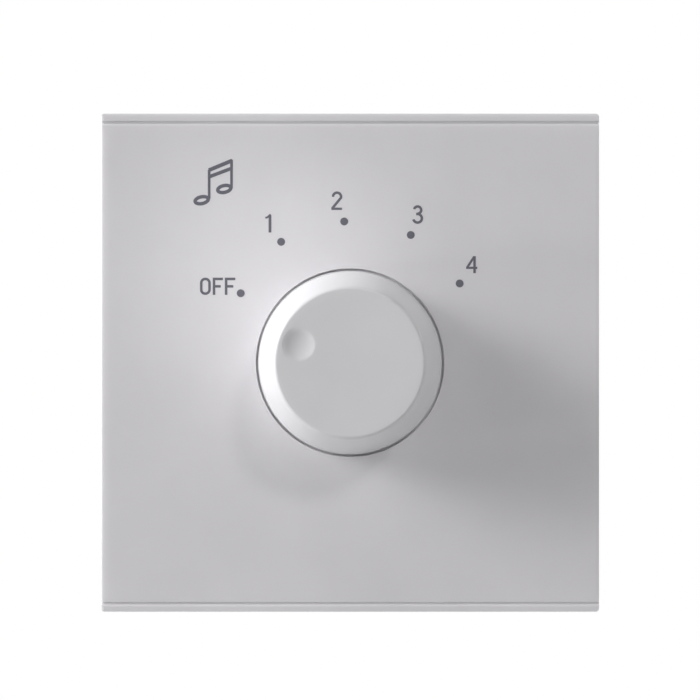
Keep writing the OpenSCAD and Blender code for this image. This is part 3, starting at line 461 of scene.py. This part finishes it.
def makeFrame():
    halfW, halfH, face = plateSet["width"] / 2, plateSet["height"] / 2, plateSet["face"]
    back = plateSet["joint"] + plateSet["overlap"]
    piece = copyNode("mounting_frame", "lippedFrame")
    low = halfH - lipSet["height"]
    cutFront(piece, low - lipSet["groove"] - lipSet["cutClear"])
    spare, lipEdge = lipSet["spare"], softEdge[:lipSet["edgeSteps"]]
    level, beyond = face + lipSet["grooveDepth"], plateSet["spare"]
    left, behind = -halfW - margin, back + margin
    lowCorner, highCorner = (-halfW, face - margin, -halfH), (halfW, behind, halfH)
    for side in (1, -1):
        z0, z1 = sorted((side * low, side * halfH))
        lip = softSlab((-halfW, face, z0 - spare), (halfW + spare, back, z1), lipEdge)
        combine(lip, block((left, face - margin, z0), (halfW, behind, z1 + margin)), "INTERSECT")
        z0, z1 = sorted((side * (low - lipSet["groove"]), side * (low + lipSet["grooveSeat"])))
        groove = softSlab((-halfW, level, z0 - beyond), (halfW + beyond, back, z1 + beyond), lipEdge)
        combine(groove, block((left, level - margin, z0), (halfW, behind, z1)), "INTERSECT")
        combine(lip, groove, "UNION")
        combine(lip, roundedBlock(lowCorner, highCorner, plateSet["frameCorner"]), "INTERSECT")
        combine(piece, lip, "UNION")
    return piece


def knobSection(inset=0.0):
    top, cone = knobSet["top"] + inset, knobSet["coneStart"]
    topR, coneR, baseR = (knobSet[name] - inset for name in ("topRadius", "coneRadius", "baseRadius"))
    lean = math.degrees(math.atan2(coneR - topR, cone - top))
    run = knobSet["edge"] / math.tan(math.radians(90 + lean) / 2)
    flat = topR - run
    shares = [i / knobSet["rings"] for i in range(knobSet["rings"])]
    hollow = 0 if inset else knobSet["hollow"]
    points = [(flat * s, top + hollow * (1 - s * s)) for s in shares]
    points += arcPoints((flat, top + knobSet["edge"]), knobSet["edge"], -90, -lean, knobSet["edgeSteps"])
    points += [(coneR, cone)]
    if not inset:
        bevel = knobSet["baseEdge"]
        points += arcPoints((baseR - bevel, cone + bevel), bevel, -90, 0, knobSet["baseSteps"])
    return points + [(baseR, knobSet["bottom"])]


def makeKnob():
    outside = knobSection()
    inside = knobSection(knobSet["skin"])
    knob = turnProfile(outside + inside[::-1], knobSet["turnSteps"])
    coreEnd = knobSet["bottom"] - knobSet["coreLift"]
    section = knobSection(knobSet["core"])[:-1]
    section += [(knobSet["baseRadius"] - knobSet["core"], coreEnd), (0, coreEnd)]
    core = turnProfile(section, knobSet["coreSteps"])
    inner = copyNode("knob", "knobInside")
    combine(inner, core, "INTERSECT")
    combine(knob, inner, "UNION")
    size, lip = dimpleSet["radius"], dimpleSet["lip"]
    rise = size - dimpleSet["depth"]
    reach = math.sqrt((size + lip) ** 2 - (rise + lip) ** 2)
    meet = reach * size / (size + lip)
    level = knobSet["top"] + dimpleSet["lift"]
    shares = [i / dimpleSet["rings"] for i in range(dimpleSet["rings"] + 1)]
    section = [(meet * s, level - rise + math.sqrt(size ** 2 - (meet * s) ** 2)) for s in shares]
    across = [meet + (reach - meet) * s for s in shares[1:-1]]
    section += [(x, level + lip - math.sqrt(lip ** 2 - (reach - x) ** 2)) for x in across]
    section += [(reach * dimpleSet["mouth"], knobSet["top"] - margin), (0, knobSet["top"] - margin)]
    combine(knob, turnProfile(section, dimpleSet["turnSteps"], dimpleSet["middle"]), "DIFFERENCE")
    return joinPieces("turnedKnob", [knob])


for make, nodeName, bodyName, finishName in ((makeCover, "front_cover", "plate", "satinShell"),
                                             (makeFrame, "mounting_frame", "plate", "satinShell"),
                                             (makeKnob, "knob", "knob_shaft", "satinKnob")):
    piece = make()
    smoothFaces(piece)
    paint(piece, finishes[finishName])
    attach(piece, bodyName)
    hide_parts(nodeName)
    print(piece.name, "ready:", len(piece.data.polygons), "faces")


# winding: one turn is drawn, repeated up the bobbin and given its thickness

windingSet = {"wire": 0.34, "pitch": 0.36, "corner": 1.4, "cornerSteps": 5, "sink": 0.2,
              "mergeReach": 0.01, "smoothAngle": 50, "colour": (0.62, 0.27, 0.11)}


def enamelWire(name, colour):
    driftScale, driftStretch, darkShare = 600, (1, 1, 4), 0.8
    roughness, smooth, rough, smearScale = 0.28, 0.22, 0.36, 1500
    coatWeight, coatRoughness = 0.7, 0.12
    finish, tree, shader, place = newFinish(name, colour, roughness, 1.0)
    shader.inputs["Coat Weight"].default_value = coatWeight
    shader.inputs["Coat Roughness"].default_value = coatRoughness
    drift = spread(tree, noiseOf(tree, place, driftScale, 3, driftStretch), 0, 1)
    dark = [c * darkShare for c in colour]
    tree.links.new(blendColours(tree, drift, dark, colour), shader.inputs["Base Color"])
    smear = spread(tree, noiseOf(tree, place, smearScale, 2), smooth, rough)
    tree.links.new(smear, shader.inputs["Roughness"])
    return finish


def makeWinding():
    low, high = (Vector(corner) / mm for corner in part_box("transformer_winding"))
    wire, middle = windingSet["wire"], (low + high) / 2
    halfX, halfY = (high.x - low.x - wire) / 2, (high.y - low.y - wire) / 2
    bend = windingSet["corner"] - wire / 2
    outline = []
    for quarter, (sideX, sideY) in enumerate(((1, 1), (-1, 1), (-1, -1), (1, -1))):
        place = (middle.x + sideX * (halfX - bend), middle.y + sideY * (halfY - bend))
        outline += arcPoints(place, bend, 90 * quarter, 90 * quarter + 90, windingSet["cornerSteps"])
    outline.append(outline[0])
    lengths = [0]
    for first, second in zip(outline, outline[1:]):
        lengths.append(lengths[-1] + math.dist(first, second))
    turns = int((high.z - low.z - wire) / windingSet["pitch"])
    rise = (high.z - low.z - wire) / turns
    heights = [low.z + wire / 2 + rise * gone / lengths[-1] for gone in lengths]
    wound = drawLine([(x, y, z) for (x, y), z in zip(outline, heights)])
    bpy.ops.object.mode_set(mode="OBJECT")
    applyModifier(wound, "ARRAY", count=turns, use_relative_offset=False, use_constant_offset=True,
                  constant_offset_displace=(0, 0, rise * mm), use_merge_vertices=True,
                  merge_threshold=windingSet["mergeReach"] * mm)
    selectOnly(wound)
    bpy.ops.object.convert(target="CURVE")
    wound = bpy.context.object
    wound.data.bevel_depth = wire / 2 * mm
    wound.data.bevel_resolution = 1
    wound.data.use_fill_caps = True
    bpy.ops.object.convert(target="MESH")
    wound = bpy.context.object
    editAll()
    bpy.ops.mesh.remove_doubles(threshold=weldReach)
    bpy.ops.mesh.normals_make_consistent(inside=False)
    bpy.ops.object.mode_set(mode="OBJECT")
    inner = copyNode("transformer_winding", "innerLayers")
    room = Vector((windingSet["sink"], windingSet["sink"], -margin))
    combine(inner, block(low + room, high - room), "INTERSECT")
    return joinPieces("woundCopper", [wound, inner])


winding = makeWinding()
smoothFaces(winding, windingSet["smoothAngle"])
paint(winding, enamelWire("enamelledCopper", windingSet["colour"]))
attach(winding, "plate")
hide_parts("transformer_winding")
print("winding ready:", len(winding.data.polygons), "faces")


# printed marks on the cover, drawn in millimetres from its middle and then set on the face

inkSet = {"height": 0.03, "sunk": 0.01, "arcStep": 10, "leastSteps": 4, "roundSteps": 48, "weld": 0.004,
          "colour": (0.125, 0.125, 0.152), "lightShare": 1.12, "cloudScale": 1800,
          "roughness": 0.55, "smooth": 0.5, "rough": 0.62, "smearScale": 3000}

dotMarks = {"radius": 0.68,
            "points": [(-18.87, 11.98), (-11.89, 20.86), (-1.0, 24.37), (10.49, 22.04), (18.93, 13.67)]}

# strokes with their width: each starts at a point, a pair goes straight to a point,
# a triple turns round a centre
scaleMarks = {
    "offO": [(0.44, [(-25.692, 13.18), (-25.692, 13.75), (-24.992, 13.75, -90), (-24.958, 14.45),
                     (-24.958, 13.75, -90), (-24.258, 12.61), (-24.958, 12.61, -90), (-24.992, 11.91),
                     (-24.992, 12.61, -90), (-25.692, 13.18)])],
    "offFirstF": [(0.44, [(-23.48, 11.70), (-23.48, 14.45), (-21.94, 14.45)]),
                  (0.44, [(-23.48, 13.17), (-22.32, 13.17)])],
    "offSecondF": [(0.44, [(-21.39, 11.70), (-21.39, 14.45), (-19.80, 14.45)]),
                   (0.44, [(-21.39, 13.17), (-20.14, 13.17)])],
    "one": [(0.47, [(-13.82, 25.46), (-13.82, 22.47)]),
            (0.33, [(-14.62, 25.0), (-14.27, 25.08), (-13.72, 25.58)])],
    "two": [(0.44, [(-2.93, 28.62), (-2.24, 28.655, -200), (-3.08, 26.62)]),
            (0.4, [(-3.22, 26.56), (-1.38, 26.56)])],
    "three": [(0.44, [(11.071, 26.5), (11.67, 26.34, -255)]),
              (0.44, [(11.42, 25.66), (11.66, 25.66), (11.66, 24.92, -255)])],
    "four": [(0.43, [(21.5, 18.38), (21.5, 15.44)]), (0.37, [(20.05, 16.36), (21.97, 16.36)]),
             (0.4, [(21.46, 18.32), (20.18, 16.36)])],
}
noteStrokes = [(0.46, [(-24.325, 33.29), (-24.325, 28.33)]), (0.46, [(-20.46, 35.03), (-20.46, 30.14)]),
               (0.66, [(-24.38, 33.22), (-20.33, 34.90)]), (0.6, [(-24.33, 32.08), (-20.44, 33.55)])]
noteHeads = {"size": (1.15, 0.585), "lean": 12, "stroke": 0.6,
             "middles": [(-25.61, 28.04), (-21.71, 29.98)]}


def raiseInk(stroke, width):
    bpy.ops.mesh.select_all(action="SELECT")
    bpy.ops.mesh.remove_doubles(threshold=inkSet["weld"])
    extrudeBy((0, 0, inkSet["height"]))
    bpy.ops.object.mode_set(mode="OBJECT")
    applyModifier(stroke, "SOLIDIFY", thickness=width, offset=0, use_even_offset=True)
    selectOnly(stroke)
    editAll()
    bpy.ops.mesh.normals_make_consistent(inside=False)
    bpy.ops.object.mode_set(mode="OBJECT")
    return stroke


def drawStroke(steps, width):
    here = Vector((*steps[0], 0))
    stroke = startPoint(here)
    for step in steps[1:]:
        if len(step) == 2:
            there = Vector((*step, 0))
            extrudeBy(there - here)
        else:
            middle, turn = Vector((step[0], step[1], 0)), math.radians(step[2])
            arcSteps = max(inkSet["leastSteps"], round(abs(step[2]) / inkSet["arcStep"]))
            bpy.ops.mesh.spin(steps=arcSteps, angle=-turn, center=middle, axis=(0, 0, 1))
            there = middle + Matrix.Rotation(turn, 3, "Z") @ (here - middle)
        here = there
    return raiseInk(stroke, width)


def drawHead(middle):
    selectNone()
    bpy.ops.mesh.primitive_circle_add(vertices=inkSet["roundSteps"], radius=1)
    head = bpy.context.object
    editAll()
    bpy.ops.transform.resize(value=(*noteHeads["size"], 1))
    lean = -math.radians(noteHeads["lean"])
    bpy.ops.transform.rotate(value=lean, orient_axis="Z", center_override=(0, 0, 0))
    bpy.ops.transform.translate(value=(*middle, 0))
    return raiseInk(head, noteHeads["stroke"])


def drawDot(middle):
    selectNone()
    bpy.ops.mesh.primitive_circle_add(vertices=inkSet["roundSteps"], radius=dotMarks["radius"],
                                      fill_type="NGON")
    dot = bpy.context.object
    editAll()
    bpy.ops.transform.translate(value=(*middle, 0))
    extrudeBy((0, 0, inkSet["height"]))
    bpy.ops.mesh.select_all(action="SELECT")
    bpy.ops.mesh.normals_make_consistent(inside=False)
    bpy.ops.object.mode_set(mode="OBJECT")
    return dot


def weldStrokes(strokes):
    for other in strokes[1:]:
        combine(strokes[0], other, "UNION")
    return strokes[0]


def setOnFace(name, strokes):
    piece = joinPieces(name, strokes)
    piece.rotation_euler = (math.radians(90), 0, 0)
    piece.scale = (mm, mm, mm)
    piece.location = (0, (plateSet["face"] + inkSet["sunk"]) * mm, 0)
    applyPlace(piece)
    paint(piece, inkFinish)
    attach(piece, "plate")
    return piece


inkFinish, tree, shader, place = newFinish("markInk", inkSet["colour"], inkSet["roughness"])
inkLight = [c * inkSet["lightShare"] for c in inkSet["colour"]]
inkCloud = spread(tree, noiseOf(tree, place, inkSet["cloudScale"], 3), 0, 1)
tree.links.new(blendColours(tree, inkCloud, inkSet["colour"], inkLight), shader.inputs["Base Color"])
inkSmear = spread(tree, noiseOf(tree, place, inkSet["smearScale"], 2), inkSet["smooth"], inkSet["rough"])
tree.links.new(inkSmear, shader.inputs["Roughness"])

digitMarks = []
for strokes in scaleMarks.values():
    digitMarks.append(weldStrokes([drawStroke(steps, width) for width, steps in strokes]))
setOnFace("printedScale", digitMarks + [drawDot(middle) for middle in dotMarks["points"]])
noteParts = [drawStroke(steps, width) for width, steps in noteStrokes]
noteParts += [drawHead(middle) for middle in noteHeads["middles"]]
setOnFace("printedNote", [weldStrokes(noteParts)])
print("print on the cover ready")


# the rays that see plain white: camera, glossy and transmission

def whiteRays(tree, rays):
    seen = rays.outputs["Is Camera Ray"]
    for kind in ("Is Glossy Ray", "Is Transmission Ray"):
        either = tree.nodes.new("ShaderNodeMath")
        either.operation = "MAXIMUM"
        tree.links.new(seen, either.inputs[0])
        tree.links.new(rays.outputs[kind], either.inputs[1])
        seen = either.outputs[0]
    return seen


# camera, straight in front of the plate

cameraSet = {"distance": 0.8, "frameWidth": 120.85 * mm, "height": 2.18 * mm, "faceY": plateSet["face"] * mm}

selectNone()
bpy.ops.object.camera_add(
    location=(0, cameraSet["faceY"] - cameraSet["distance"], cameraSet["height"]),
    rotation=(math.radians(90), 0, 0))
camera = bpy.context.object
camera.name = "camera"
camera.data.lens = camera.data.sensor_width * cameraSet["distance"] / cameraSet["frameWidth"]
bpy.context.scene.camera = camera


# pale round floor below the plate, out of the front view, that fades to the white background

floorSet = {"radius": 0.5, "turnSteps": 96, "rim": 0.02, "height": -0.11, "colour": (0.68, 0.68, 0.68),
            "roughness": 0.8, "smooth": 0.74, "rough": 0.86, "smearScale": 40,
            "fadeFrom": 0.2, "fadeTo": 0.44}

selectNone()
bpy.ops.mesh.primitive_circle_add(vertices=floorSet["turnSteps"], radius=floorSet["radius"],
                                  fill_type="NGON", location=(0, 0, floorSet["height"]))
floor = bpy.context.object
floor.name = "paleFloor"
editAll()
bpy.ops.mesh.inset(thickness=floorSet["rim"])
bpy.ops.object.mode_set(mode="OBJECT")
applyPlace(floor)

floorFinish, tree, shader, place = newFinish("paleFloorFinish", floorSet["colour"], floorSet["roughness"])
floorNoise = noiseOf(tree, place, floorSet["smearScale"], 4)
floorSmear = spread(tree, floorNoise, floorSet["smooth"], floorSet["rough"])
tree.links.new(floorSmear, shader.inputs["Roughness"])
distance = tree.nodes.new("ShaderNodeVectorMath")
distance.operation = "LENGTH"
tree.links.new(place, distance.inputs[0])
fade = spread(tree, distance.outputs["Value"], 0, 1, floorSet["fadeFrom"], floorSet["fadeTo"])
rays = tree.nodes.new("ShaderNodeLightPath")
shown = whiteRays(tree, rays)
share = tree.nodes.new("ShaderNodeMath")
share.operation = "MULTIPLY"
tree.links.new(fade, share.inputs[0])
tree.links.new(shown, share.inputs[1])
glow = tree.nodes.new("ShaderNodeEmission")
glow.inputs["Strength"].default_value = 1
rim = tree.nodes.new("ShaderNodeMixShader")
tree.links.new(share.outputs[0], rim.inputs["Fac"])
tree.links.new(shader.outputs[0], rim.inputs[1])
tree.links.new(glow.outputs[0], rim.inputs[2])
under = tree.nodes.new("ShaderNodeMixShader")  # open from below, so that the underside can be seen
tree.links.new(tree.nodes.new("ShaderNodeNewGeometry").outputs["Backfacing"], under.inputs["Fac"])
tree.links.new(rim.outputs[0], under.inputs[1])
tree.links.new(tree.nodes.new("ShaderNodeBsdfTransparent").outputs[0], under.inputs[2])
tree.links.new(under.outputs[0], tree.nodes["Material Output"].inputs["Surface"])
paint(floor, floorFinish)


# lights: directions are seen from the front, azimuth from the right over the top, height above the face

panels = {
    "upperKeyPanel": {"azimuth": 140, "height": 14, "reach": 1.4, "size": (0.2, 0.4), "power": 1.53},
    "keyPanel": {"azimuth": 150, "height": 14, "reach": 1.4, "size": (0.3, 0.4), "power": 6.0},
    "lowerKeyPanel": {"azimuth": 159, "height": 15, "reach": 1.4, "size": (0.3, 0.4), "power": 8.05},
    "sideKeyPanel": {"azimuth": 168, "height": 14, "reach": 1.4, "size": (0.2, 0.4), "power": 3.2},
    "leftPanel": {"azimuth": 190, "height": 10, "reach": 1.4, "size": (0.4, 0.2), "power": 3.4},
    "topPanel": {"azimuth": 108, "height": 12, "reach": 0.7, "size": (0.25, 0.25), "power": 0.685},
    "upperRightPanel": {"azimuth": 55, "height": 43, "reach": 0.5, "size": (0.08, 0.08), "power": 0.38},
    "rightPanel": {"azimuth": 25, "height": 3, "reach": 0.7, "size": (0.25, 0.25), "power": 0.76},
    "rearPanel": {"azimuth": 165, "height": -45, "reach": 0.9, "size": (0.5, 0.5), "power": 3.8},
    "rearFill": {"azimuth": 15, "height": -42, "reach": 0.9, "size": (0.4, 0.4), "power": 2.2},
}

# the glow beside the knob is two narrow beams that fall on the plate and its print, not on the knob
glowSpots = {
    "upperGlow": {"azimuth": 150, "height": 60, "reach": 0.7, "aim": (-0.010, 0.016),
                  "width": 2.8, "soft": 0.02, "power": 6.5},
    "sideGlow": {"azimuth": 150, "height": 60, "reach": 0.7, "aim": (-0.014, 0.012),
                 "width": 2.8, "soft": 0.02, "power": 3.8},
}
glowPieces = ("clippedCover", "lippedFrame", "printedScale", "printedNote")


def addPanel(name, panel):
    turn, rise = math.radians(panel["azimuth"]), math.radians(panel["height"])
    toward = Vector((math.cos(turn) * math.cos(rise), -math.sin(rise), math.sin(turn) * math.cos(rise)))
    acrossAim, upAim = panel.get("aim", (0, 0))
    aim = Vector((acrossAim, cameraSet["faceY"], upAim))
    selectNone()
    kind = "SPOT" if "width" in panel else "AREA"
    bpy.ops.object.light_add(type=kind, location=aim + panel["reach"] * toward,
                             rotation=toward.to_track_quat("Z", "Y").to_euler())
    light = bpy.context.object
    light.name = name
    light.data.energy = panel["power"]
    if kind == "SPOT":
        light.data.spot_size = math.radians(panel["width"])
        light.data.spot_blend = 1
        light.data.shadow_soft_size = panel["soft"]
    else:
        light.data.shape = "RECTANGLE"
        light.data.size, light.data.size_y = panel["size"]
    return light


glowShare = bpy.data.collections.new("glowShare")
for pieceName in glowPieces:
    glowShare.objects.link(bpy.data.objects[pieceName])
for panelName, panel in {**panels, **glowSpots}.items():
    light = addPanel(panelName, panel)
    if panelName in glowSpots:
        light.light_linking.receiver_collection = glowShare


# the world is white where it is seen and gives no light of its own
world = bpy.data.worlds.new("softWorld")
world.use_nodes = True
bpy.context.scene.world = world
tree = world.node_tree
unlit = tree.nodes["Background"]
unlit.inputs["Strength"].default_value = 0
white = tree.nodes.new("ShaderNodeBackground")
white.inputs["Color"].default_value = (1, 1, 1, 1)
pick = tree.nodes.new("ShaderNodeMixShader")
tree.links.new(whiteRays(tree, tree.nodes.new("ShaderNodeLightPath")), pick.inputs["Fac"])
tree.links.new(unlit.outputs[0], pick.inputs[1])
tree.links.new(white.outputs[0], pick.inputs[2])
tree.links.new(pick.outputs[0], tree.nodes["World Output"].inputs["Surface"])

bpy.context.scene.view_settings.view_transform = "Standard"
print("camera and lights ready")
